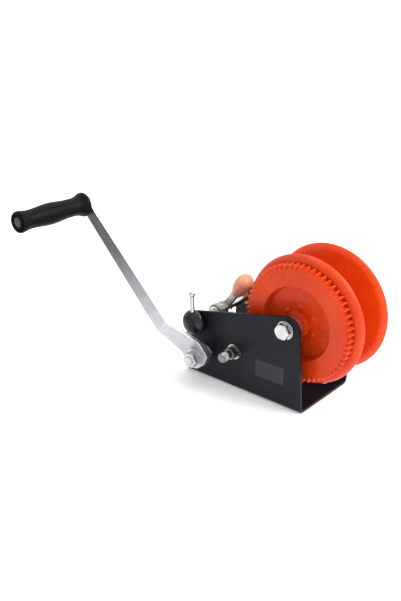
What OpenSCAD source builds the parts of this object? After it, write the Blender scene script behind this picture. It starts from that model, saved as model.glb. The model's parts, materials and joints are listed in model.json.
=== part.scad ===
// Two-speed hand winch for a boat trailer.
// Origin: centre of the underside of the base. +X towards the drum end,
// +Y from the crank side to the far side, +Z up. Every shaft lies along Y.

/* [Frame] */
// Length of the bent sheet frame
frame_len = 190; // [180:1:200]
// Width over the outside of the two side plates
frame_w = 112; // [110:1:116]
// Sheet thickness of the frame
sheet_t = 4; // [3:0.5:4]
// Outside radius of the two bends
bend_r = 7; // [6:0.5:9]
// Height of the side plates at the crank end
plate_low = 91; // [90:1:96]
// Height of the side plates above the drum axle
plate_high = 127; // [126:1:130]
// Radius of the rounded lobe around the drum axle
lobe_r = 19; // [17:0.5:20]
// Distance between slot centres along the base
slot_pitch_x = 140; // [130:1:145]
// Distance between slot centres across the base
slot_pitch_y = 64; // [60:1:66]
// Length of each mounting slot
slot_len = 20; // [16:1:24]
// Radius of the mounting slots
slot_r = 5.5; // [4.5:0.25:6]

/* [Gears] */
// Tooth size: pitch diameter in mm per tooth
gear_module = 2.5; // [2.5:0.5:2.5]
// Pressure angle of every gear
pressure_angle = 25; // [25:1:25]
// Teeth on the drum gear
drum_teeth = 60; // [60:1:60]
// Teeth on the main pinion
main_teeth = 17; // [17:1:17]
// Teeth on the intermediate gear
mid_teeth = 28; // [28:1:28]
// Teeth on the crank pinion
crank_teeth = 12; // [12:1:12]
// Free play between two meshing flanks
backlash = 0.35; // [0.25:0.05:0.5]

/* [Drum] */
// Distance of the drum axle from the middle of the base
axle_x = 68; // [67:0.5:69]
// Height of the drum axle
axle_z = 109.5; // [109:0.5:111]
// Outer radius of the two flanges
flange_r = 85.5; // [84:0.5:86]
// Sheet thickness of the flanges
flange_t = 2.5; // [2:0.5:3]
// Radius of the barrel that the strap winds on
barrel_r = 30; // [28:0.5:31]

/* [Crank] */
// Distance from the crank shaft to the grip
arm_len = 245; // [225:1:260]
// Width of the arm at the shaft
arm_w_hub = 40; // [30:1:42]
// Width of the arm past the joggle
arm_w_mid = 24; // [22:1:28]
// Width of the arm at the grip
arm_w_tip = 17; // [16:1:20]
// Thickness of the arm
arm_t = 6; // [6:0.5:8]
// Angle of the arm above the horizontal at rest
arm_angle = 52; // [40:0.5:60]
// Length of the plastic grip
grip_len = 108; // [100:1:115]

/* [Hidden] */
$fn = 96;

paint = [0.86, 0.25, 0.13];
black = [0.16, 0.17, 0.20];
zinc = [0.80, 0.81, 0.84];
bronze = [0.70, 0.52, 0.28];
plastic = [0.12, 0.12, 0.13];

// Faces of the two side plates
out_y = frame_w / 2;
in_y = out_y - sheet_t;

// Running clearance of a shaft in a bush, on the radius
run_fit = 0.05;
// Gap left between faces that turn against each other
face_gap = 0.4;

// Shaft places as [x, z], each one a gear centre distance from the last
axle = [axle_x, axle_z];
main_centres = gear_module * (drum_teeth + main_teeth) / 2;
low_centres = gear_module * (mid_teeth + crank_teeth) / 2;
main_line = 214.8;
low_line = 198.3;
pinion = axle + main_centres * [cos(main_line), sin(main_line)];
crank = pinion + low_centres * [cos(low_line), sin(low_line)];
pawl_pivot = [-75.5, 79.5];

// Shaft and bush radii
axle_r = 6;
sleeve_r = 8;
drum_bush_r = 11;
shaft_r = 8;
bush_r = 10.5;
bush_flange_r = 13.5;
bush_flange_t = 1.5;
rod_r = 5;
rod_bush_r = 7;

// Places along Y
gear_y = [-35.5, -24.5];
web_y = -26;
main_pinion_y = [-37, -23.8];
mid_gear_y = [-49, -41];
crank_pinion_y = [-50, -40];
near_mid = -22;
far_mid = 37;
near_in = near_mid + flange_t / 2;
near_out = near_mid - flange_t / 2;
far_in = far_mid - flange_t / 2;
far_out = far_mid + flange_t / 2;
shaft_end_y = out_y + 4;

// Flange rims bend towards the far side: [radius, angle] of the near and the far one
near_flare = [9, 78];
far_flare = [11, 55];

// Drum gear: a recessed web with a hub inside a toothed rim
gear_recess_r = 47;
gear_hub_r = 17;
gear_boss_r = 44;
rivet_circle = 22;
rivet_count = 6;
anchor_place = polar(37, 225);
anchor_r = 4;

// Crank arm: a thick hub with a counterbore for the shaft, a joggle outwards, then the long reach
hub_t = 10;
hub_y = [-80, -80 + hub_t];
hub_pad = 13;
hub_tail = 14.5;
hub_cut = [6.5, 13];
joggle_start = 17;
joggle_end = 59;
joggle_out = 27.5;
bend_shift = arm_t * tan(atan(joggle_out / (joggle_end - joggle_start)) / 2);
reach_out = 18;
tip_flat = 16;
tip_y = hub_y[0] - joggle_out - reach_out;
thread_r = 6;
flat_half = 4.8;
spindle_r = 5;
spindle_head_r = 5.8;
cap_r = 6.3;
washer_t = 1.8;
grip_start = tip_y - washer_t - face_gap;

// Ratchet
ratchet_teeth = 12;
ratchet_tip = 22;
ratchet_root = 17;
ratchet_half = 4;
ratchet_pin_y = ratchet_half + 2.5;
pawl_half = 3.5;
roll_pin_y = 6.2;
nose_reach = 24;
nose_spread = 34;
lever_angle = 53;
lever_len = 48;

// ---------- helpers ----------

// Moves children to a shaft line given as [x, z]
module on_line(p) translate([p[0], 0, p[1]]) children();

// Extrudes a shape drawn in X and Z from y0 to y1
module slab(y) translate([0, y[1], 0]) rotate([90, 0, 0]) linear_extrude(y[1] - y[0]) children();

// A round bar along Y
module bar(r, y) translate([0, y[0], 0]) rotate([-90, 0, 0]) cylinder(r = r, h = y[1] - y[0]);

// A tube along Y
module tube(r_out, r_in, y) difference() {
    bar(r_out, y);
    bar(r_in, [y[0] - 1, y[1] + 1]);
}

// A body turned about Y from a profile drawn as [radius, y]
module turned() rotate([-90, 0, 0]) rotate_extrude() children();

// A hexagon across the flats, with its corners turned off on one side or both
module hex_head(flats, y, chamfer_low = true, chamfer_high = false) intersection() {
    slab(y) circle(r = flats / sqrt(3), $fn = 6);
    turned() polygon([
        [0, y[0]], [flats * (chamfer_low ? 0.47 : 0.6), y[0]],
        [flats * 0.6, y[0] + flats * (chamfer_low ? 0.075 : 0)],
        [flats * 0.6, y[1] - flats * (chamfer_high ? 0.075 : 0)],
        [flats * (chamfer_high ? 0.47 : 0.6), y[1]], [0, y[1]]
    ]);
}

// A retaining ring with its opening
module circlip(r_in, y) difference() {
    tube(r_in + 3.2, r_in, y);
    slab([y[0] - 1, y[1] + 1]) polygon([[0, 0], [20, -9], [20, 9]]);
}

// ---------- gear teeth ----------

function polar(r, a) = r * [cos(a), sin(a)];
function involute(a) = tan(a) * 180 / PI - a;

// Half the angle of a tooth at radius r
function tooth_half(teeth, r) =
    let (pitch_r = gear_module * teeth / 2, base_r = pitch_r * cos(pressure_angle))
    90 / teeth - backlash / 4 / pitch_r * 180 / PI
    + involute(pressure_angle) - involute(acos(min(1, base_r / r)));

// One gear outline, with a tooth centred on the angle given
module gear_outline(teeth, start = 0) {
    pitch_r = gear_module * teeth / 2;
    base_r = pitch_r * cos(pressure_angle);
    root_r = pitch_r - 1.25 * gear_module;
    tip_r = pitch_r + gear_module;
    low_r = max(base_r, root_r + 0.4);
    steps = 4;
    radii = concat([root_r], [for (i = [0:steps]) low_r + (tip_r - low_r) * i / steps]);
    polygon([
        for (tooth = [0:teeth - 1])
            let (middle = start + tooth * 360 / teeth)
            for (side = [-1, 1], i = [0:steps + 1])
                let (r = radii[side < 0 ? i : steps + 1 - i])
                polar(r, middle + side * tooth_half(teeth, max(r, low_r)))
    ]);
}

// ---------- frame ----------

module plate_outline() hull() {
    translate([-frame_len / 2, 0]) square([frame_len, 12]);
    translate([-frame_len / 2 + 7, plate_low - 7]) circle(r = 7, $fn = 32);
    translate([axle_x + 1, plate_high - lobe_r]) circle(r = lobe_r, $fn = 48);
}

module channel_profile() difference() {
    union() {
        translate([-out_y, bend_r]) square([frame_w, plate_high]);
        translate([-out_y + bend_r, 0]) square([frame_w - 2 * bend_r, bend_r + 1]);
        for (side = [-1, 1]) translate([side * (out_y - bend_r), bend_r]) circle(r = bend_r);
    }
    translate([-in_y, bend_r]) square([2 * in_y, plate_high + 1]);
    translate([-out_y + bend_r, sheet_t]) square([frame_w - 2 * bend_r, bend_r]);
    for (side = [-1, 1]) translate([side * (out_y - bend_r), bend_r]) circle(r = bend_r - sheet_t);
}

module slot_shape() {
    square([slot_len - 2 * slot_r, 2 * slot_r], center = true);
    for (end = [-1, 1]) translate([end * (slot_len / 2 - slot_r), 0]) circle(r = slot_r);
}

module frame() color(black) difference() {
    intersection() {
        rotate([90, 0, 90]) translate([0, 0, -frame_len / 2])
            linear_extrude(frame_len) channel_profile();
        slab([-out_y - 1, out_y + 1]) plate_outline();
    }
    for (x = [-1, 1], y = [-1, 1])
        translate([x * slot_pitch_x / 2, y * slot_pitch_y / 2, -1])
            linear_extrude(sheet_t + 2) slot_shape();
    on_line(axle) bar(axle_r + 0.1, [-out_y - 1, out_y + 1]);
    on_line(pinion) bar(bush_r, [-out_y - 1, out_y + 1]);
    on_line(crank) bar(bush_r, [-out_y - 1, out_y + 1]);
    on_line(pawl_pivot) bar(rod_bush_r, [-out_y - 1, out_y + 1]);
}

// A blank identification plate glued to the near side plate
label_size = [44, 24];
module label_plate() color([0.30, 0.31, 0.35])
    translate([46, 0, 44]) slab([-out_y - 0.4, -out_y]) {
        square([label_size[0], label_size[1] - 4], center = true);
        square([label_size[0] - 4, label_size[1]], center = true);
        for (x = [-1, 1], z = [-1, 1])
            translate([x * (label_size[0] / 2 - 2), z * (label_size[1] / 2 - 2)]) circle(r = 2);
    }

// ---------- drum axle ----------

module axle_bolt() color(zinc) on_line(axle) {
    hex_head(19, [-out_y - 10.5, -out_y - 2.5]);
    bar(axle_r, [-out_y - 3, out_y + 15]);
}

module axle_sleeve() color(zinc) on_line(axle) tube(sleeve_r, axle_r + 0.1, [-in_y, in_y]);

module axle_washers() color(zinc) on_line(axle) {
    tube(12, axle_r + 0.1, [-out_y - 2.5, -out_y]);
    tube(12, axle_r + 0.1, [out_y, out_y + 2.5]);
}

module axle_nut() color(zinc) on_line(axle) {
    difference() {
        union() {
            hex_head(19, [out_y + 2.5, out_y + 11], false, true);
            bar(8, [out_y + 10, out_y + 13.5]);
        }
        bar(axle_r, [out_y, out_y + 20]);
    }
}

module spacer_near() color(zinc) on_line(axle)
    tube(13, sleeve_r + 0.03, [-in_y, gear_y[0] - face_gap]);

module spacer_far() color(zinc) on_line(axle)
    tube(13, sleeve_r + 0.03, [far_out + 1.5 + face_gap, in_y]);

// ---------- bushes in the side plates ----------

// A flanged bush pressed into a plate from inside; side is -1 near, 1 far
module plate_bush(r_out, r_flange, r_bore, side) difference() {
    union() {
        bar(r_out, side < 0 ? [-out_y - 0.6, -in_y] : [in_y, out_y + 0.6]);
        bar(r_flange, side < 0 ? [-in_y, -in_y + bush_flange_t] : [in_y - bush_flange_t, in_y]);
    }
    bar(r_bore, [-out_y - 5, out_y + 5]);
}

module pinion_bushes() color(bronze) on_line(pinion) for (side = [-1, 1])
    plate_bush(bush_r, bush_flange_r, shaft_r + run_fit, side);

module crank_bushes() color(bronze) on_line(crank) for (side = [-1, 1])
    plate_bush(bush_r, bush_flange_r, shaft_r + run_fit, side);

module pawl_bushes() color(bronze) on_line(pawl_pivot) for (side = [-1, 1])
    plate_bush(rod_bush_r, rod_bush_r + 2.5, rod_r + run_fit, side);

// ---------- drum ----------

module drum_barrel() color(paint) on_line(axle) tube(barrel_r, barrel_r - 3, [near_in, far_in]);

// Half profile of a flange: a flat sheet, then a flare of the radius and angle given
module flange_profile(flare_r, flare_angle) {
    flare_start = flange_r - flare_r * sin(flare_angle) - flange_t / 2;
    translate([drum_bush_r, -flange_t / 2]) square([flare_start - drum_bush_r, flange_t]);
    translate([flare_start, flare_r]) {
        intersection() {
            difference() {
                circle(r = flare_r + flange_t / 2);
                circle(r = flare_r - flange_t / 2);
            }
            polygon([[0, 0], [0, -30], [30, -30], 30 * [1, -1 / tan(flare_angle)]]);
        }
        translate(polar(flare_r, flare_angle - 90)) circle(r = flange_t / 2);
    }
}

module flange(middle, flare) difference() {
    translate([0, middle, 0]) turned() flange_profile(flare[0], flare[1]);
    on_line(anchor_place) bar(anchor_r + 0.1, [middle - 3, middle + 3]);
}

module flange_near() color(paint) on_line(axle) difference() {
    flange(near_mid, near_flare);
    for (i = [0:rivet_count - 1])
        on_line(polar(rivet_circle, 30 + i * 60)) bar(3, [near_mid - 3, near_mid + 3]);
}

module flange_far() color(paint) on_line(axle) flange(far_mid, far_flare);

module drum_gear() color(paint) on_line(axle) difference() {
    union() {
        slab(gear_y) gear_outline(drum_teeth, main_line);
        bar(gear_boss_r, [gear_y[1] - 0.5, near_out]);
    }
    turned() polygon([
        [gear_hub_r, web_y], [gear_recess_r, web_y], [gear_recess_r + 2, gear_y[0] + 1.2],
        [gear_recess_r + 3.2, gear_y[0] - 1], [gear_hub_r - 1, gear_y[0] - 1]
    ]);
    bar(drum_bush_r, [gear_y[0] - 1, near_out + 1]);
    for (i = [0:rivet_count - 1])
        on_line(polar(rivet_circle, 30 + i * 60)) bar(3, [gear_y[0], near_out + 1]);
    on_line(anchor_place) bar(anchor_r + 0.1, [gear_y[0], near_out + 1]);
}

module gear_rivets() color(paint) on_line(axle) for (i = [0:rivet_count - 1])
    on_line(polar(rivet_circle, 30 + i * 60)) {
        bar(3, [web_y - 0.5, near_in + 0.5]);
        turned() polygon([[0, web_y - 2.6], [2.2, web_y - 2.3], [4, web_y - 1.2],
            [4.6, web_y], [0, web_y]]);
        turned() polygon([[0, near_in], [4.5, near_in], [3.9, near_in + 1.2],
            [0, near_in + 1.8]]);
    }

module drum_bush_near() color(bronze) on_line(axle)
    tube(drum_bush_r, sleeve_r + run_fit, [gear_y[0], near_in + 3]);

module drum_bush_far() color(bronze) on_line(axle) difference() {
    union() {
        bar(drum_bush_r, [far_in - 9, far_out]);
        bar(15, [far_out, far_out + 1.5]);
    }
    bar(sleeve_r + run_fit, [far_in - 10, far_out + 3]);
}

module strap_anchor_bolt() color(zinc) on_line(axle + anchor_place) {
    hex_head(13, [web_y - 5.3, web_y]);
    bar(anchor_r, [web_y - 1, far_out + 9]);
}

module strap_anchor_sleeve() color(zinc) on_line(axle + anchor_place)
    tube(anchor_r + 2, anchor_r + 0.1, [near_in, far_in]);

module strap_anchor_nut() color(zinc) on_line(axle + anchor_place) difference() {
    hex_head(13, [far_out, far_out + 6.8], false, true);
    bar(anchor_r, [far_out - 1, far_out + 8]);
}

// ---------- high-speed pinion shaft ----------

stub_shoulder = -68;
stub_end = -84;
key_w = 4;
key_h = 3.8;

// A key seat in a shaft, or the matching way in a gear, pointing up
module key_way(y) translate([-key_w / 2, y[0], shaft_r - 2]) cube([key_w, y[1] - y[0], key_h]);

// Cuts two flats on a threaded shaft end, so that the crank arm can't slip
module flats_cut(y) for (side = [-1, 1])
    translate([side * (flat_half + 5), (y[0] + y[1]) / 2, 0])
        cube([10, y[1] - y[0], 30], center = true);

// A stepped shaft: threaded end, shoulder, body, with grooves for two circlips
module stepped_shaft(end, shoulder) difference() {
    turned() polygon([
        [0, end], [thread_r - 1, end], [thread_r, end + 1], [thread_r, shoulder],
        [shaft_r - 0.6, shoulder], [shaft_r, shoulder + 0.6], [shaft_r, shaft_end_y - 1],
        [shaft_r - 1, shaft_end_y], [0, shaft_end_y]
    ]);
    rotate([0, 180 + arm_angle, 0]) flats_cut([shoulder - arm_t, shoulder]);
    tube(shaft_r + 1, shaft_r - 0.8, [out_y + 0.9, out_y + 2.1]);
    tube(shaft_r + 1, shaft_r - 0.8, [-out_y - 2.1, -out_y - 0.9]);
}

module pinion_shaft() color(zinc) on_line(pinion) difference() {
    stepped_shaft(stub_end, stub_shoulder);
    key_way([mid_gear_y[0], main_pinion_y[1]]);
}

module keyed_gear(teeth, start, y) difference() {
    slab(y) gear_outline(teeth, start);
    bar(shaft_r, [y[0] - 1, y[1] + 1]);
    key_way([y[0] - 1, y[1] + 1]);
}

module main_pinion() color(zinc) on_line(pinion) difference() {
    union() {
        slab(main_pinion_y) gear_outline(main_teeth, main_line - 180 + 180 / main_teeth);
        bar(14, [mid_gear_y[1], main_pinion_y[0] + 0.5]);
    }
    bar(shaft_r, [mid_gear_y[1] - 1, main_pinion_y[1] + 1]);
    key_way([mid_gear_y[1] - 1, main_pinion_y[1] + 1]);
}

module intermediate_gear() color(zinc) on_line(pinion) difference() {
    keyed_gear(mid_teeth, low_line, mid_gear_y);
    for (i = [0:5]) on_line(polar(23, 60 * i)) bar(5.5, [mid_gear_y[0] - 1, mid_gear_y[1] + 1]);
}

module pinion_circlips() color(zinc) on_line(pinion) {
    circlip(shaft_r - 0.8, [out_y + 0.9, out_y + 2.1]);
    circlip(shaft_r - 0.8, [-out_y - 2.1, -out_y - 0.9]);
}

module shaft_keys() color(zinc) on_line(pinion)
    translate([-key_w / 2, mid_gear_y[0], shaft_r - 2])
        cube([key_w, main_pinion_y[1] - mid_gear_y[0], key_h]);

// ---------- crank shaft ----------

module crank_shaft() color(zinc) on_line(crank) difference() {
    stepped_shaft(hub_y[0] - 15, hub_y[0] + arm_t);
    key_way(crank_pinion_y);
    translate([0, ratchet_pin_y, 0]) bar_across(1.5, [-20, 20]);
}

// A small cross hole or pin through a shaft, in the middle of the winch
module bar_across(r, z) translate([0, 0, z[0]]) cylinder(r = r, h = z[1] - z[0], $fn = 32);

module crank_pinion() color(zinc) on_line(crank)
    keyed_gear(crank_teeth, low_line - 180 + 180 / crank_teeth, crank_pinion_y);

module crank_key() color(zinc) on_line(crank)
    translate([-key_w / 2, crank_pinion_y[0], shaft_r - 2])
        cube([key_w, crank_pinion_y[1] - crank_pinion_y[0], key_h]);

module ratchet_wheel() color(zinc) on_line(crank) difference() {
    union() {
        slab([-ratchet_half, ratchet_half]) polygon([
            for (i = [0:ratchet_teeth - 1], step = [[0.12, 1], [0.42, 1], [0.6, 0], [0.94, 0]])
                polar(step[1] == 1 ? ratchet_tip : ratchet_root,
                    (i + step[0]) * 360 / ratchet_teeth)
        ]);
        bar(13, [-ratchet_half - 5, ratchet_half + 5]);
    }
    bar(shaft_r, [-20, 20]);
    translate([0, ratchet_pin_y, 0]) bar_across(1.5, [-20, 20]);
}

module ratchet_pin() color(zinc) on_line(crank) translate([0, ratchet_pin_y, 0])
    bar_across(1.5, [-12.8, 12.8]);

module crank_circlips() color(zinc) on_line(crank) {
    circlip(shaft_r - 0.8, [out_y + 0.9, out_y + 2.1]);
    circlip(shaft_r - 0.8, [-out_y - 2.1, -out_y - 0.9]);
}

// ---------- crank arm and grip ----------

// Turns children drawn along +x so that +x points along the arm
module along_arm() on_line(crank) rotate([0, 180 + arm_angle, 0]) children();

// The side view of the arm: distance along it, and the place of its two faces along Y
module arm_side() {
    tip = arm_len + arm_w_tip;
    flat_start = arm_len - tip_flat;
    polygon([
        [-hub_tail, hub_y[0]], [joggle_start - bend_shift, hub_y[0]],
        [joggle_end - bend_shift, hub_y[0] - joggle_out], [flat_start, tip_y],
        [tip, tip_y], [tip, tip_y + arm_t], [flat_start, tip_y + arm_t],
        [joggle_end, hub_y[0] + arm_t - joggle_out], [joggle_start, hub_y[0] + arm_t],
        [hub_pad + 0.6, hub_y[0] + arm_t], [hub_pad, hub_y[1]], [-hub_tail, hub_y[1]]
    ]);
}

// The front view of the arm: tapered, with cut corners and a round tip
module arm_front() {
    polygon([
        [-hub_tail, -arm_w_hub / 2 + hub_cut[1]], [-hub_tail + hub_cut[0], -arm_w_hub / 2],
        [0, -arm_w_hub / 2], [joggle_end, -arm_w_mid / 2], [arm_len, -arm_w_tip / 2],
        [arm_len, arm_w_tip / 2], [joggle_end, arm_w_mid / 2], [0, arm_w_hub / 2],
        [-hub_tail + hub_cut[0], arm_w_hub / 2], [-hub_tail, arm_w_hub / 2 - hub_cut[1]]
    ]);
    translate([arm_len, 0]) circle(r = arm_w_tip / 2);
}

module crank_arm() color(zinc) along_arm() difference() {
    intersection() {
        translate([0, 0, -30]) linear_extrude(60) arm_side();
        slab([-160, -60]) arm_front();
    }
    intersection() {
        bar(thread_r, [-100, -60]);
        cube([2 * flat_half, 300, 30], center = true);
    }
    bar(shaft_r + run_fit, [hub_y[0] + arm_t, hub_y[1] + 1]);
    translate([arm_len, 0, 0]) bar(spindle_r, [-160, -60]);
}

module crank_washer() color(zinc) on_line(crank)
    tube(13, thread_r + 0.1, [hub_y[0] - 2.5, hub_y[0]]);

module crank_nut() color(zinc) on_line(crank) difference() {
    hex_head(19, [hub_y[0] - 12.5, hub_y[0] - 2.5], true, false);
    bar(thread_r, [hub_y[0] - 20, hub_y[0]]);
}

module at_grip() along_arm() translate([arm_len, 0, 0]) children();

module grip_spindle() color(zinc) at_grip() {
    bar(spindle_r, [grip_start - grip_len + 5, tip_y + arm_t + 1]);
    bar(spindle_head_r, [grip_start - grip_len + 3, grip_start - grip_len + 6]);
    turned() polygon([[0, tip_y + arm_t], [8, tip_y + arm_t], [7.4, tip_y + arm_t + 2],
        [5, tip_y + arm_t + 3.2], [0, tip_y + arm_t + 3.2]]);
}

module grip_washer() color(zinc) at_grip() tube(10, spindle_r, [tip_y - washer_t, tip_y]);

module grip_body() color(plastic) at_grip() difference() {
    turned() polygon([
        [0, grip_start], [14.4, grip_start], [15.8, grip_start - 1.3], [15.7, grip_start - 4.5],
        [14.2, grip_start - 8.5], [12.5, grip_start - 13], [11.8, grip_start - 19],
        [11.7, grip_start - 27], [12.5, grip_start - 40], [13.6, grip_start - 50],
        [13.9, grip_start - 58], [13.3, grip_start - 68], [12.2, grip_start - 80],
        [12.1, grip_start - 92],
        [13.3, grip_start - grip_len + 7], [13.8, grip_start - grip_len + 4],
        [13.4, grip_start - grip_len + 1], [12.2, grip_start - grip_len],
        [0, grip_start - grip_len]
    ]);
    bar(spindle_r + run_fit, [grip_start - grip_len + 6, grip_start + 1]);
    bar(cap_r, [grip_start - grip_len - 1, grip_start - grip_len + 6.4]);
}

module grip_cap() color([0.28, 0.28, 0.29]) at_grip() turned() polygon([
    [0, grip_start - grip_len + 0.8], [cap_r - 1.2, grip_start - grip_len + 0.5],
    [cap_r, grip_start - grip_len + 0.9], [cap_r, grip_start - grip_len + 2.4],
    [0, grip_start - grip_len + 2.4]
]);

// ---------- two-way pawl ----------

knob_y = [-out_y - 17, -out_y - 1];
knob_r = 17.5;
lever_pin_y = -out_y - 9;
lever_pin_r = 3;
lever_pin_tilt = -2;
pawl_reach_line = atan2(crank[1] - pawl_pivot[1], crank[0] - pawl_pivot[0]);

module pawl_rod() color(zinc) on_line(pawl_pivot) difference() {
    bar(rod_r, [knob_y[0] + 3, out_y + 5]);
    tube(rod_r + 1, rod_r - 0.6, [out_y + 0.9, out_y + 2.1]);
    translate([0, roll_pin_y, 0]) bar_across(1.25, [-20, 20]);
}

module pawl() color(zinc) on_line(pawl_pivot) difference() {
    union() {
        slab([-pawl_half, pawl_half]) {
            circle(r = 11);
            for (side = [-1, 1]) rotate(pawl_reach_line + side * nose_spread)
                polygon([[0, 10 * side], [nose_reach, 2.2 * side],
                    [nose_reach, -2.2 * side], [0, -4 * side]]);
            rotate(lever_angle) translate([0, -5]) square([lever_len, 10]);
        }
        bar(9, [-20.5, 9]);
    }
    bar(rod_r, [-22, 20]);
    translate([0, roll_pin_y, 0]) bar_across(1.25, [-20, 20]);
}

module pawl_roll_pin() color(zinc) on_line(pawl_pivot) translate([0, roll_pin_y, 0])
    bar_across(1.25, [-10, 10]);

module pawl_thumb_grip() color(paint) on_line(pawl_pivot) rotate([0, -lever_angle, 0]) difference() {
    hull() {
        translate([36, 0, 0]) scale([0.5, 0.9, 1]) sphere(r = 7.5, $fn = 32);
        translate([52, 0, 0]) scale([1, 1.15, 1]) sphere(r = 11.5, $fn = 32);
        translate([61, 0, 0]) scale([0.8, 1.2, 0.95]) sphere(r = 12, $fn = 32);
    }
    translate([lever_len - 30, -pawl_half, -5]) cube([30, 2 * pawl_half, 10]);
}

// A wire wound round the rod: the list of its points and the tube swept on them
coil_r = 10.6;
wire_r = 0.9;
coil_turns = 4;
coil_pitch = 2.3;
coil_steps = 20;
coil_sides = 8;
function coil_point(i, k) =
    let (a = i * 360 / coil_steps, spin = k * 360 / coil_sides,
        r = coil_r + wire_r * cos(spin))
    [r * cos(a), -10.4 - coil_pitch * i / coil_steps + wire_r * sin(spin), r * sin(a)];

module pawl_spring() color(zinc) on_line(pawl_pivot) {
    rings = coil_turns * coil_steps;
    polyhedron(
        points = [for (i = [0:rings], k = [0:coil_sides - 1]) coil_point(i, k)],
        faces = concat(
            [for (i = [0:rings - 1], k = [0:coil_sides - 1])
                [i * coil_sides + k, i * coil_sides + (k + 1) % coil_sides,
                    (i + 1) * coil_sides + (k + 1) % coil_sides, (i + 1) * coil_sides + k]],
            [[for (k = [coil_sides - 1:-1:0]) k]],
            [[for (k = [0:coil_sides - 1]) rings * coil_sides + k]]
        )
    );
}

module pawl_knob() color(plastic) on_line(pawl_pivot) difference() {
    turned() polygon([
        [0, knob_y[0]], [knob_r * 0.5, knob_y[0] + 0.8], [knob_r * 0.8, knob_y[0] + 3],
        [knob_r * 0.96, knob_y[0] + 7], [knob_r, knob_y[0] + 10], [knob_r * 0.92, knob_y[1] - 2],
        [knob_r * 0.8, knob_y[1]], [0, knob_y[1]]
    ]);
    bar(rod_r, [knob_y[0] + 3, knob_y[1] + 1]);
    translate([0, lever_pin_y, 0]) rotate([0, lever_pin_tilt, 0])
        bar_across(lever_pin_r, [8, 30]);
}

module pawl_lever_pin() color(zinc) on_line(pawl_pivot)
    translate([0, lever_pin_y, 0]) rotate([0, lever_pin_tilt, 0]) {
        bar_across(lever_pin_r, [8, 41]);
        translate([0, 0, 41]) sphere(r = lever_pin_r + 1.2, $fn = 48);
    }

module pawl_circlip() color(zinc) on_line(pawl_pivot)
    circlip(rod_r - 0.6, [out_y + 0.9, out_y + 2.1]);

// ---------- drawing ----------

frame();
label_plate();
axle_bolt();
axle_sleeve();
axle_washers();
axle_nut();
spacer_near();
spacer_far();
pinion_bushes();
crank_bushes();
pawl_bushes();
drum_barrel();
flange_near();
flange_far();
drum_gear();
gear_rivets();
drum_bush_near();
drum_bush_far();
strap_anchor_bolt();
strap_anchor_sleeve();
strap_anchor_nut();
pinion_shaft();
main_pinion();
intermediate_gear();
pinion_circlips();
shaft_keys();
crank_shaft();
crank_pinion();
crank_key();
ratchet_wheel();
ratchet_pin();
crank_circlips();
crank_arm();
crank_washer();
crank_nut();
grip_spindle();
grip_washer();
grip_body();
grip_cap();
pawl_rod();
pawl();
pawl_roll_pin();
pawl_thumb_grip();
pawl_spring();
pawl_knob();
pawl_lever_pin();
pawl_circlip();
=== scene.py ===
import json
import math

import bpy
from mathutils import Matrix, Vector


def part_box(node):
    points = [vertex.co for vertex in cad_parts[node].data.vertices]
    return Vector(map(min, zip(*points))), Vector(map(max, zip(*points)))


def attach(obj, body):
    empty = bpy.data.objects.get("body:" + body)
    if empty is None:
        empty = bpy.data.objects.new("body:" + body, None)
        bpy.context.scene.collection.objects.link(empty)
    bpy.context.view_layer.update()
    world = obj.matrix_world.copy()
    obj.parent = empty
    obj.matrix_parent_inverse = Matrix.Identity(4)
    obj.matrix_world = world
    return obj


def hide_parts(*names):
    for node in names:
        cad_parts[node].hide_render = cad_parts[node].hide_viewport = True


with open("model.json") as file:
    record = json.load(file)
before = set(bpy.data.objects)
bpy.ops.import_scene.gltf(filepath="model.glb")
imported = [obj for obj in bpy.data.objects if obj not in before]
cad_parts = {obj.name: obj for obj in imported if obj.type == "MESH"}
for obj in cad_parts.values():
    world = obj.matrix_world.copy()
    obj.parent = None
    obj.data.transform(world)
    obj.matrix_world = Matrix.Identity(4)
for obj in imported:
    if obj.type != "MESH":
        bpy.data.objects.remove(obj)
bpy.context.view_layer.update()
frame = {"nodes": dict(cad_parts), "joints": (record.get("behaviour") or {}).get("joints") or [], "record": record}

nodes = frame["nodes"]
scene = bpy.context.scene
joint_at = {joint["name"]: Vector(joint["pos_m"]) for joint in frame["joints"]}
MM = 0.001


# ---------- camera ----------

LENS_MM = 47.44
SENSOR_MM = 36.0
CAMERA_REACH = 200.0
CAMERA_PLACE = (0.5625, -0.7888, 0.5196)
CAMERA_FORWARD = (-0.6017, 0.6974, -0.3893)


def add_camera():
    """The camera stands at the drum end of the crank side, a little above the winch."""
    data = bpy.data.cameras.new("camera")
    data.lens = LENS_MM
    data.sensor_width = SENSOR_MM
    data.clip_end = CAMERA_REACH
    camera = bpy.data.objects.new("camera", data)
    camera.location = CAMERA_PLACE
    camera.rotation_euler = Vector(CAMERA_FORWARD).to_track_quat("-Z", "Y").to_euler()
    scene.collection.objects.link(camera)
    scene.camera = camera


# ---------- materials ----------

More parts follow.
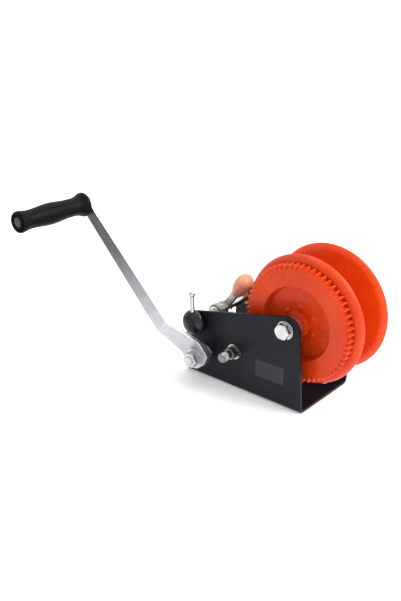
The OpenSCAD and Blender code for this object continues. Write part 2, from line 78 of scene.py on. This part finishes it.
class Shading:
    """One material's node tree, with short calls for the nodes used here."""

    def __init__(self, name, metallic=0.0, specular=0.5):
        self.material = bpy.data.materials.new(name)
        self.material.use_nodes = True
        self.tree = self.material.node_tree
        self.shader = self.tree.nodes["Principled BSDF"]
        self.shader.inputs["Metallic"].default_value = metallic
        self.shader.inputs["Specular IOR Level"].default_value = specular
        self.coords = self.add("ShaderNodeTexCoord").outputs["Object"]
        self.normal = None

    def add(self, kind, **settings):
        node = self.tree.nodes.new(kind)
        for key, value in settings.items():
            setattr(node, key, value)
        return node

    def feed(self, value, socket):
        """Links an output, or sets a plain value."""
        if isinstance(value, bpy.types.NodeSocket):
            self.tree.links.new(value, socket)
        else:
            socket.default_value = value

    def math(self, operation, first, second):
        node = self.add("ShaderNodeMath", operation=operation)
        self.feed(first, node.inputs[0])
        self.feed(second, node.inputs[1])
        return node.outputs[0]

    def part(self, value, share):
        """A share of a value, which says how much of an effect is seen."""
        return self.math("MULTIPLY", value, share)

    def placed(self, scale, turn=(0, 0, 0)):
        """The object's own coordinates, first turned and then scaled along each axis."""
        turned = self.add("ShaderNodeMapping")
        self.feed(self.coords, turned.inputs["Vector"])
        turned.inputs["Rotation"].default_value = turn
        scaled = self.add("ShaderNodeMapping")
        self.feed(turned.outputs[0], scaled.inputs["Vector"])
        scaled.inputs["Scale"].default_value = scale
        return scaled.outputs[0]

    def noise(self, size, detail=3.0, where=None, rough=0.5):
        """Noise whose lumps are about size metres across."""
        node = self.add("ShaderNodeTexNoise")
        self.feed(where or self.coords, node.inputs["Vector"])
        node.inputs["Scale"].default_value = 1.0 / size
        node.inputs["Detail"].default_value = detail
        node.inputs["Roughness"].default_value = rough
        return node.outputs[0]

    def between(self, value, low, high, new_low=0.0, new_high=1.0):
        """Stretches the part of a value from low to high over the new range.

        Noise values lie around a half, mostly from 0.3 to 0.7.
        """
        node = self.add("ShaderNodeMapRange")
        self.feed(value, node.inputs["Value"])
        for name, number in (("From Min", low), ("From Max", high),
                             ("To Min", new_low), ("To Max", new_high)):
            node.inputs[name].default_value = number
        return node.outputs[0]

    def mix(self, amount, first, second):
        """Blends two colours."""
        node = self.add("ShaderNodeMix", data_type="RGBA")
        self.feed(amount, node.inputs[0])
        for value, socket in ((first, node.inputs[6]), (second, node.inputs[7])):
            if isinstance(value, tuple):
                value = (*value, 1.0)
            self.feed(value, socket)
        return node.outputs[2]

    def edges(self, radius):
        """One along the outer and inner edges, and nought on flat faces."""
        rounded_off = self.add("ShaderNodeBevel", samples=6)
        rounded_off.inputs["Radius"].default_value = radius
        true = self.add("ShaderNodeNewGeometry").outputs["True Normal"]
        dot = self.add("ShaderNodeVectorMath", operation="DOT_PRODUCT")
        self.feed(rounded_off.outputs[0], dot.inputs[0])
        self.feed(true, dot.inputs[1])
        return self.between(self.math("SUBTRACT", 1.0, dot.outputs["Value"]), 0.02, 0.25)

    def bump(self, height, depth):
        """Adds relief of the given depth in metres on top of what is there already."""
        node = self.add("ShaderNodeBump")
        node.inputs["Distance"].default_value = depth
        self.feed(height, node.inputs["Height"])
        if self.normal is not None:
            self.feed(self.normal, node.inputs["Normal"])
        self.normal = node.outputs[0]
        self.feed(self.normal, self.shader.inputs["Normal"])

    def finish(self, colour, roughness):
        """Sets the colour and roughness, and gives the finished material."""
        self.feed(colour, self.shader.inputs["Base Color"])
        self.feed(roughness, self.shader.inputs["Roughness"])
        return self.material


def painted(name, deep, bright, worn, gloss, specular, peel=1.4 * MM):
    """Sprayed or powder-coated metal: cloudy colour, thin paint on edges, scuffs, orange peel."""
    s = Shading(name, specular=specular)
    patches = s.between(s.noise(size=45 * MM, detail=4.0), 0.35, 0.65)
    fine = s.noise(size=4 * MM, detail=6.0)
    edge = s.edges(radius=1.0 * MM)
    chipped = s.math("MULTIPLY", edge, s.between(s.noise(size=5 * MM, detail=5.0), 0.47, 0.62))
    scratch_space = s.placed(scale=(1, 1, 7), turn=(0.5, 0.2, 0.4))
    scuffs = s.between(s.noise(size=22 * MM, detail=8.0, where=scratch_space), 0.6, 0.74)
    colour = s.mix(patches, deep, bright)
    colour = s.mix(s.part(s.between(fine, 0.45, 0.75), share=0.16), colour, worn)
    colour = s.mix(s.part(chipped, share=0.55), colour, worn)
    uneven = s.between(fine, 0.3, 0.7, gloss - 0.05, gloss + 0.06)
    s.bump(s.noise(size=peel, detail=2.0), depth=0.05 * MM)
    s.bump(s.noise(size=14 * MM, detail=2.0), depth=0.12 * MM)
    return s.finish(colour, s.math("ADD", uneven, s.part(scuffs, share=0.1)))


RUBBED_ZINC = (0.92, 0.92, 0.93)


def plated(name, tint, shade, gloss, brush=None):
    """Zinc plate on steel: cloudy passivation, drawing or rolling marks, stains, rubbed edges."""
    s = Shading(name, metallic=1.0)
    clouds = s.between(s.noise(size=16 * MM, detail=5.0), 0.35, 0.68)
    where = s.placed(*brush) if brush else s.placed(scale=(1, 9, 1))
    marks = s.noise(size=1.6 * MM, detail=4.0, where=where, rough=0.65)
    stains = s.between(s.noise(size=7 * MM, detail=7.0), 0.58, 0.78)
    edge = s.edges(radius=0.8 * MM)
    stained = tuple(0.55 * c for c in shade)
    colour = s.mix(clouds, tint, shade)
    colour = s.mix(s.part(s.between(marks, 0.4, 0.8), share=0.3), colour, shade)
    colour = s.mix(s.part(stains, share=0.25), colour, stained)
    colour = s.mix(s.part(edge, share=0.4), colour, RUBBED_ZINC)
    uneven = s.between(marks, 0.3, 0.75, gloss - 0.06, gloss + 0.1)
    s.bump(marks, depth=0.03 * MM)
    s.bump(s.noise(size=9 * MM, detail=2.0), depth=0.05 * MM)
    return s.finish(colour, s.math("ADD", uneven, s.part(stains, share=0.12)))


def moulded(name, deep, bright, gloss, grain, specular=0.5):
    """Moulded plastic: fine spark texture, flow marks, scuffed high spots."""
    s = Shading(name, specular=specular)
    spark = s.noise(size=grain, detail=3.0, rough=0.7)
    flow = s.noise(size=30 * MM, detail=4.0, where=s.placed(scale=(1, 0.35, 1)))
    scratch_space = s.placed(scale=(1, 3, 1), turn=(0.3, 0.8, 0.1))
    scuffs = s.between(s.noise(size=9 * MM, detail=9.0, where=scratch_space), 0.62, 0.75)
    lighter = tuple(min(1.0, 2.2 * c + 0.012) for c in bright)
    colour = s.mix(s.between(flow, 0.35, 0.65), deep, bright)
    colour = s.mix(s.part(s.edges(radius=1.2 * MM), share=0.35), colour, lighter)
    colour = s.mix(s.part(scuffs, share=0.3), colour, lighter)
    uneven = s.between(spark, 0.3, 0.7, gloss - 0.05, gloss + 0.07)
    s.bump(spark, depth=0.04 * MM)
    s.bump(flow, depth=0.1 * MM)
    return s.finish(colour, s.math("ADD", uneven, s.part(scuffs, share=0.12)))


def bronze_sinter():
    """Sintered bronze: oil-darkened, with open pores."""
    oily, dry, pore = (0.26, 0.18, 0.10), (0.40, 0.30, 0.18), (0.16, 0.09, 0.04)
    s = Shading("bronze", metallic=1.0)
    pores = s.between(s.noise(size=0.7 * MM, detail=3.0), 0.55, 0.7)
    oil = s.between(s.noise(size=8 * MM, detail=4.0), 0.35, 0.65)
    colour = s.mix(s.part(pores, share=0.6), s.mix(oil, oily, dry), pore)
    s.bump(s.math("SUBTRACT", 1.0, pores), depth=0.05 * MM)
    return s.finish(colour, s.between(oil, 0.0, 1.0, 0.3, 0.45))


def arm_brush():
    """The scale and turn that make the rolling marks run along the crank arm."""
    crank = joint_at["crank_spin"]
    grip = joint_at["grip_spin"]
    lean = math.atan2(grip.z - crank.z, crank.x - grip.x)
    return (0.04, 1.0, 1.0), (0.0, -lean, 0.0)


def make_materials():
    """One material for each slot in the record, and a brighter copy of the drum paint for the far flange, which is
    painted light on its inner face.
    """
    return {
        "frame_paint": painted(
            "frame_paint", deep=(0.004, 0.005, 0.009), bright=(0.007, 0.008, 0.013),
            worn=(0.05, 0.052, 0.062), gloss=0.40, specular=0.17, peel=1.1 * MM),
        "label": painted(
            "label", deep=(0.016, 0.014, 0.018), bright=(0.024, 0.021, 0.027),
            worn=(0.08, 0.07, 0.08), gloss=0.5, specular=0.3, peel=0.5 * MM),
        "drum_paint": painted(
            "drum_paint", deep=(0.56, 0.032, 0.001), bright=(0.65, 0.044, 0.001),
            worn=(0.76, 0.20, 0.06), gloss=0.32, specular=0.25),
        # Painted light: the drum paint made brighter for the far flange, standing in for the light on its inner
        # face between the flanges.
        "painted_light_flange": painted(
            "painted_light_flange_paint", deep=(0.71, 0.042, 0.001), bright=(0.80, 0.056, 0.0015),
            worn=(0.82, 0.24, 0.08), gloss=0.32, specular=0.25),
        "zinc": plated(
            "zinc", tint=(0.64, 0.63, 0.64), shade=(0.49, 0.49, 0.51), gloss=0.24),
        "crank_zinc": plated(
            "crank_zinc", tint=(0.55, 0.56, 0.585), shade=(0.47, 0.48, 0.505), gloss=0.32,
            brush=arm_brush()),
        "gear_steel": plated(
            "gear_steel", tint=(0.27, 0.25, 0.26), shade=(0.16, 0.15, 0.16), gloss=0.34),
        "bronze": bronze_sinter(),
        "spring_steel": plated(
            "spring_steel", tint=(0.50, 0.48, 0.46), shade=(0.32, 0.31, 0.30), gloss=0.26),
        "grip_plastic": moulded(
            "grip_plastic", deep=(0.002, 0.002, 0.003), bright=(0.004, 0.004, 0.006),
            gloss=0.40, grain=0.8 * MM, specular=0.07),
        "cap_plastic": moulded(
            "cap_plastic", deep=(0.05, 0.05, 0.052), bright=(0.075, 0.075, 0.078),
            gloss=0.45, grain=0.8 * MM),
        "knob_plastic": moulded(
            "knob_plastic", deep=(0.005, 0.006, 0.009), bright=(0.008, 0.009, 0.013),
            gloss=0.20, grain=2.5 * MM, specular=0.4),
        "thumb_vinyl": moulded(
            "thumb_vinyl", deep=(0.62, 0.20, 0.11), bright=(0.72, 0.29, 0.18),
            gloss=0.32, grain=2.0 * MM, specular=0.4),
    }


# ---------- shapes of the CAD nodes ----------

SAME_POINT = 0.003 * MM
SMOOTH_BELOW = math.radians(38)
FLAT_WITHIN = math.radians(0.4)
ROUND_ABOVE = math.radians(40)


def smoothing_group():
    """Geometry nodes that join split corners and shade smooth up to SMOOTH_BELOW."""
    group = bpy.data.node_groups.new("smooth_by_angle", "GeometryNodeTree")
    group.interface.new_socket("Geometry", in_out="INPUT", socket_type="NodeSocketGeometry")
    group.interface.new_socket("Geometry", in_out="OUTPUT", socket_type="NodeSocketGeometry")
    add, link = group.nodes.new, group.links.new
    start, end = add("NodeGroupInput"), add("NodeGroupOutput")
    clear = add("GeometryNodeRemoveAttribute")
    clear.inputs["Name"].default_value = "custom_normal"
    merge = add("GeometryNodeMergeByDistance")
    merge.inputs["Distance"].default_value = SAME_POINT
    angle = add("GeometryNodeInputMeshEdgeAngle")
    flat_enough = add("FunctionNodeCompare")
    flat_enough.operation = "LESS_THAN"
    flat_enough.inputs["B"].default_value = SMOOTH_BELOW
    faces = add("GeometryNodeSetShadeSmooth")
    faces.domain = "FACE"
    edges = add("GeometryNodeSetShadeSmooth")
    edges.domain = "EDGE"
    link(start.outputs[0], clear.inputs["Geometry"])
    link(clear.outputs[0], merge.inputs["Geometry"])
    link(merge.outputs[0], faces.inputs["Geometry"])
    link(faces.outputs[0], edges.inputs["Geometry"])
    link(angle.outputs["Unsigned Angle"], flat_enough.inputs["A"])
    link(flat_enough.outputs[0], edges.inputs["Shade Smooth"])
    link(edges.outputs[0], end.inputs[0])
    return group


def soften(piece, width, smoothing):
    """Joins a piece's faces and shades it smoothly. A width also rounds its sharp edges."""
    first = piece.modifiers.new("join", "NODES")
    first.node_group = smoothing
    if not width:
        return
    flat = piece.modifiers.new("flat_faces", "DECIMATE")
    flat.decimate_type = "DISSOLVE"
    flat.angle_limit = FLAT_WITHIN
    bevel = piece.modifiers.new("round_edges", "BEVEL")
    bevel.width = width
    bevel.segments = 2
    bevel.limit_method = "ANGLE"
    bevel.angle_limit = ROUND_ABOVE
    bevel.use_clamp_overlap = False
    bevel.harden_normals = False
    last = piece.modifiers.new("shade", "NODES")
    last.node_group = smoothing
    even = piece.modifiers.new("even_faces", "WEIGHTED_NORMAL")
    even.keep_sharp = True


# How wide the rounding of each node's sharp edges is. The other nodes keep theirs.
EDGE_WIDTH = {
    "frame": 0.5 * MM, "crank_arm": 0.8 * MM, "drum_gear": 0.35 * MM,
    "main_pinion": 0.25 * MM, "intermediate_gear": 0.25 * MM, "crank_pinion": 0.25 * MM,
    "ratchet_wheel": 0.3 * MM, "pawl": 0.4 * MM, "axle_bolt": 0.3 * MM, "axle_nut": 0.3 * MM,
    "crank_nut": 0.3 * MM, "axle_washers": 0.3 * MM, "crank_washer": 0.3 * MM,
    "strap_anchor_bolt": 0.25 * MM, "strap_anchor_nut": 0.25 * MM, "grip_washer": 0.3 * MM,
    "label_plate": 0.12 * MM,
}


# ---------- new pieces ----------

def mesh_piece(name, points, faces, body, slot):
    """Makes a smooth mesh, lets it ride on a body and gives it its slot's material."""
    mesh = bpy.data.meshes.new(name)
    mesh.from_pydata(points, [], faces)
    mesh.update()
    mesh.shade_smooth()
    piece = bpy.data.objects.new(name, mesh)
    scene.collection.objects.link(piece)
    mesh.materials.append(materials[slot])
    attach(piece, body)
    return piece


def rounded(points, steps=6):
    """A smooth curve through points, by Catmull-Rom."""
    curve = []
    for i in range(len(points) - 1):
        before, here = points[max(i - 1, 0)], points[i]
        there, after = points[i + 1], points[min(i + 2, len(points) - 1)]
        for step in range(steps):
            t = step / steps
            curve.append(tuple(
                0.5 * (2 * b + (c - a) * t + (2 * a - 5 * b + 4 * c - d) * t * t
                       + (3 * b - a - 3 * c + d) * t ** 3)
                for a, b, c, d in zip(before, here, there, after)))
    curve.append(points[-1])
    return curve


# Faces round a turned piece, and the radius from which the mould seams show.
AROUND = 120
SEAM_FROM_RADIUS = 6 * MM


def turned(name, loop, line, body, slot, seam):
    """A closed loop of (radius, y) points turned about a shaft, with two raised mould seams."""
    points, faces = [], []
    count = len(loop)
    for k in range(AROUND):
        angle = 2 * math.pi * k / AROUND
        on_seam = k % (AROUND // 2) == AROUND // 4
        for radius, y in loop:
            r = radius + (seam if on_seam and radius > SEAM_FROM_RADIUS else 0.0)
            points.append((line.x + r * math.cos(angle), y, line.z + r * math.sin(angle)))
    for k in range(AROUND):
        here, there = k * count, (k + 1) % AROUND * count
        for i in range(count):
            j = (i + 1) % count
            faces.append((here + i, here + j, there + j, there + i))
    return mesh_piece(name, points, faces, body, slot)


WIRE_SIDES = 12


def tube_along(name, path, radius, body, slot):
    """A round wire that follows a path, closed at both ends."""
    points, faces = [], []
    side = Vector((0, 1, 0))
    for i, here in enumerate(path):
        ahead = (path[min(i + 1, len(path) - 1)] - path[max(i - 1, 0)]).normalized()
        side = (side - ahead * side.dot(ahead)).normalized()
        up = ahead.cross(side)
        for k in range(WIRE_SIDES):
            angle = 2 * math.pi * k / WIRE_SIDES
            points.append(here + radius * (math.cos(angle) * side + math.sin(angle) * up))
    for i in range(len(path) - 1):
        low, high = i * WIRE_SIDES, (i + 1) * WIRE_SIDES
        for k in range(WIRE_SIDES):
            m = (k + 1) % WIRE_SIDES
            faces.append((low + k, low + m, high + m, high + k))
    last = (len(path) - 1) * WIRE_SIDES
    faces.append(tuple(reversed(range(WIRE_SIDES))))
    faces.append(tuple(last + k for k in range(WIRE_SIDES)))
    return mesh_piece(name, points, faces, body, slot)


# Across a thread's ridge: the place as a share of the pitch, and whether it is at the crest.
RIDGE = ((-0.46, False), (-0.12, True), (0.12, True), (0.46, False))
RIDGE_FOOT = -0.15
STEPS_A_TURN = 48
# A thread grows to its full height over one twelfth of its length at each end.
FADE = 12


def thread(name, line, start, end, body, size):
    """A raised screw thread around a plain shaft end, fading in and out at its ends."""
    radius, pitch, height = size
    turns = (end - start - pitch) / pitch
    steps = max(24, int(STEPS_A_TURN * turns))
    points, faces = [], []
    for i in range(steps + 1):
        t = i / steps
        angle = 2 * math.pi * turns * t
        y = start + pitch / 2 + turns * pitch * t
        grown = min(1.0, FADE * t, FADE * (1 - t))
        for offset, at_crest in RIDGE:
            r = radius + height * (grown if at_crest else RIDGE_FOOT)
            points.append((line.x + r * math.cos(angle), y + offset * pitch,
                           line.z + r * math.sin(angle)))
    for i in range(steps):
        for k in range(3):
            low, high = 4 * i + k, 4 * (i + 1) + k
            faces.append((low, low + 1, high + 1, high))
    mesh_piece(name, points, faces, body, "zinc")


# The radius, and the distance from the arm's end of the grip, both in mm.
GRIP_SIDE = (
    (13.8, 0.0), (15.3, 0.4), (15.8, 2.0), (15.6, 4.6), (14.2, 8.2), (12.7, 12.5),
    (12.0, 18.0), (11.8, 25.0), (12.2, 35.0), (13.2, 46.0), (13.85, 56.0), (13.5, 66.0),
    (12.6, 76.0), (12.0, 86.0), (12.2, 93.0), (13.0, 99.0), (13.65, 103.0))
# The radius, and the distance from the free end, both in mm.
GRIP_END = ((13.7, 3.2), (13.1, 1.2), (11.9, 0.3), (10.2, 0.0), (8.0, 0.1))
GRIP_BORE = 5.05 * MM
GRIP_SEAM = 0.14 * MM
CAP_GAP = 0.05 * MM
POCKET_START = 0.6 * MM
POCKET_FLOOR = 6.4 * MM


def grip_piece():
    """The plastic grip: a collar at the arm, a waist, a long swell and a rounded end."""
    low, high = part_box("grip_body")
    end, start = low.y, high.y
    cap_low, cap_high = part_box("grip_cap")
    pocket = (cap_high.x - cap_low.x) / 2 + CAP_GAP
    side = rounded([(r * MM, start - y * MM) for r, y in GRIP_SIDE])
    rim = [(r * MM, end + y * MM) for r, y in GRIP_END] + [(pocket, end + POCKET_START)]
    inside = [(pocket, end + POCKET_FLOOR), (GRIP_BORE, end + POCKET_FLOOR), (GRIP_BORE, start)]
    loop = side + rounded(rim, 4) + inside
    piece = turned("grip_moulding", loop, joint_at["grip_spin"], "grip", "grip_plastic",
                   GRIP_SEAM)
    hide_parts("grip_body")


# Shares of the knob's radius and depth, from its free end to the plate.
KNOB_SIDE = (
    (0.03, 0.0), (0.34, 0.02), (0.62, 0.09), (0.85, 0.24), (0.97, 0.45), (1.0, 0.62),
    (0.97, 0.78), (0.89, 0.90), (0.82, 0.96), (0.78, 1.0))
# The knob's inner side: its mouth at the plate, then a fine core along the axis.
KNOB_MOUTH = 5.1 * MM
KNOB_CORE = 0.4 * MM
KNOB_MOUTH_DEPTH = 2 * MM
KNOB_SEAM = 0.07 * MM


def knob_piece():
    """The round plastic knob on the pawl rod, narrower where it meets the plate."""
    low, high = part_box("pawl_knob")
    wide = (high.x - low.x) / 2
    depth = high.y - low.y
    side = rounded([(r * wide, low.y + t * depth) for r, t in KNOB_SIDE])
    inside = [(KNOB_MOUTH, high.y), (KNOB_CORE, high.y - KNOB_MOUTH_DEPTH)]
    piece = turned("knob_moulding", side + inside, joint_at["pawl_flip"], "pawl_unit",
                   "knob_plastic", KNOB_SEAM)
    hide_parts("pawl_knob")


# The coil runs from its far end to its near end. Each leg goes on from there in equal steps.
SPRING_WIRE_RADIUS = 0.9 * MM
SPRING_TURNS = 4
SPRING_STEPS = 40
LEG_STEPS = 8
FIRST_LEG_STEP = Vector((0, 0.00025, -0.0012))
LAST_LEG_STEP = Vector((0, -0.0001, 0.0012))


def spring_piece():
    """The pawl's torsion spring: close turns round the hub, and two legs that stand off."""
    low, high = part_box("pawl_spring")
    line = joint_at["pawl_flip"]
    wire = SPRING_WIRE_RADIUS
    radius = (high.x - low.x) / 2 - wire
    coil = []
    for i in range(SPRING_TURNS * SPRING_STEPS + 1):
        t = i / SPRING_STEPS
        angle = 2 * math.pi * t
        y = high.y - wire - (high.y - low.y - 2 * wire) * t / SPRING_TURNS
        coil.append(Vector((line.x + radius * math.cos(angle), y,
                            line.z + radius * math.sin(angle))))
    leg_in = [coil[0] + i * FIRST_LEG_STEP for i in range(LEG_STEPS, 0, -1)]
    leg_out = [coil[-1] + i * LAST_LEG_STEP for i in range(1, LEG_STEPS + 1)]
    piece = tube_along("spring_wire", leg_in + coil + leg_out, wire, "pawl_unit", "spring_steel")
    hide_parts("pawl_spring")


# A thread's radius, pitch and height.
M12 = (6 * MM, 1.75 * MM, 0.45 * MM)
M8 = (4 * MM, 1.25 * MM, 0.35 * MM)
# Where each thread starts and stops, measured from the end of its shaft or bolt.
STUB_THREAD = (0.8 * MM, 10.4 * MM)
CRANK_THREAD = (0.8 * MM, 5.0 * MM)
AXLE_THREAD = (0.4 * MM, 4.0 * MM)
ANCHOR_THREAD = (0.2 * MM, 4.0 * MM)


def thread_pieces():
    """Raised threads on the four screwed ends, two on the near side and two on the far side."""
    for name, node, joint, body, (first, last) in (
            ("stub_thread", "pinion_shaft", "pinion_spin", "pinion_unit", STUB_THREAD),
            ("crank_thread", "crank_shaft", "crank_spin", "crank", CRANK_THREAD)):
        near_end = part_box(node)[0].y
        thread(name, joint_at[joint], near_end + first, near_end + last, body, M12)
    first, last = AXLE_THREAD
    far_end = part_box("axle_bolt")[1].y
    thread("axle_thread", joint_at["drum_spin"], far_end - last, far_end - first, "frame", M12)
    first, last = ANCHOR_THREAD
    low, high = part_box("strap_anchor_bolt")
    thread("anchor_thread", (low + high) / 2, high.y - last, high.y - first, "drum", M8)


# ---------- stage ----------

FLOOR_HALF_WIDTH = 60.0
FLOOR_GLOW = 0.15
FLOOR_TINTS = ((0.90, 0.90, 0.90), (0.93, 0.93, 0.93))
FLOOR_ROUGHNESS = 0.8
CARD_START = Vector((-0.22, -0.17, 0.003))
CARD_END = Vector((-1.42, -1.08, 0.003))
CARD_WIDTH = 1.3
CARD_FADE = 0.25
CARD_STRENGTH = 0.93
CARD_TINTS = ((0.03, 0.03, 0.032), (0.05, 0.05, 0.052))
CARD_ROUGHNESS = 0.9
# The lights point here.
AIM = Vector((0.0, 0.0, 0.08))


def add_floor():
    """A plain pale floor."""
    half = FLOOR_HALF_WIDTH
    mesh = bpy.data.meshes.new("floor")
    mesh.from_pydata([(-half, -half, 0), (half, -half, 0), (half, half, 0), (-half, half, 0)],
                     [], [(0, 1, 2, 3)])
    floor = bpy.data.objects.new("floor", mesh)
    scene.collection.objects.link(floor)
    s = Shading("floor", specular=0.2)
    paper = s.noise(size=0.4)
    s.shader.inputs["Emission Color"].default_value = (1.0, 1.0, 1.0, 1.0)
    s.shader.inputs["Emission Strength"].default_value = FLOOR_GLOW
    mesh.materials.append(s.finish(s.mix(paper, *FLOOR_TINTS), FLOOR_ROUGHNESS))


def add_graded_card():
    """A dark card just above the floor that fades in from its start.

    It is seen only in reflections, and makes the grey gradient on the crank arm.
    """
    along = (CARD_END - CARD_START).normalized()
    side = along.cross(Vector((0, 0, 1))) * CARD_WIDTH / 2
    mesh = bpy.data.meshes.new("graded_card")
    mesh.from_pydata([CARD_START - side, CARD_END - side, CARD_END + side, CARD_START + side],
                     [], [(0, 1, 2, 3)])
    card = bpy.data.objects.new("graded_card", mesh)
    scene.collection.objects.link(card)
    s = Shading("graded_card", specular=0.0)
    place = s.add("ShaderNodeVectorMath", operation="DOT_PRODUCT")
    s.feed(s.coords, place.inputs[0])
    place.inputs[1].default_value = along
    first = CARD_START.dot(along)
    alpha = s.between(place.outputs["Value"], first, first + CARD_FADE, 0.0, CARD_STRENGTH)
    s.feed(alpha, s.shader.inputs["Alpha"])
    grain = s.noise(size=0.05)
    mesh.materials.append(s.finish(s.mix(grain, *CARD_TINTS), CARD_ROUGHNESS))
    card.visible_camera = False
    card.visible_shadow = False
    card.visible_diffuse = False


def add_light(data, location):
    """Places a light so that it points at the winch."""
    light = bpy.data.objects.new(data.name, data)
    light.location = location
    light.rotation_euler = (AIM - Vector(location)).to_track_quat("-Z", "Y").to_euler()
    scene.collection.objects.link(light)


def add_lights():
    """A broad light from above and behind, and a soft one from the drum end."""
    key = bpy.data.lights.new("key", "SUN")
    key.energy = 0.8
    key.angle = math.radians(60.0)
    add_light(key, (-0.27, 1.08, 2.8))
    rim = bpy.data.lights.new("rim", "AREA")
    rim.energy = 24.0
    rim.shape = "DISK"
    rim.size = 1.2
    add_light(rim, (1.1, 0.6, 1.1))


def add_stage():
    """The floor, a white world, two lights and the card."""
    add_floor()
    world = bpy.data.worlds.new("studio")
    world.use_nodes = True
    background = world.node_tree.nodes["Background"]
    background.inputs["Color"].default_value = (1.0, 1.0, 1.0, 1.0)
    background.inputs["Strength"].default_value = 1.0
    scene.world = world
    add_lights()
    add_graded_card()
    scene.view_settings.view_transform = "Standard"


# ---------- the winch ----------

add_camera()
materials = make_materials()
smoothing = smoothing_group()
for part in frame["record"]["subparts"]:
    node = nodes[part["node"]]
    node.data.materials.clear()
    # The far flange gets the brighter copy of the drum paint, which is painted light.
    look = "painted_light_flange" if part["node"] == "flange_far" else part["material_slot"]
    node.data.materials.append(materials[look])
    soften(node, EDGE_WIDTH.get(part["node"], 0.0), smoothing)
grip_piece()
knob_piece()
spring_piece()
thread_pieces()
add_stage()
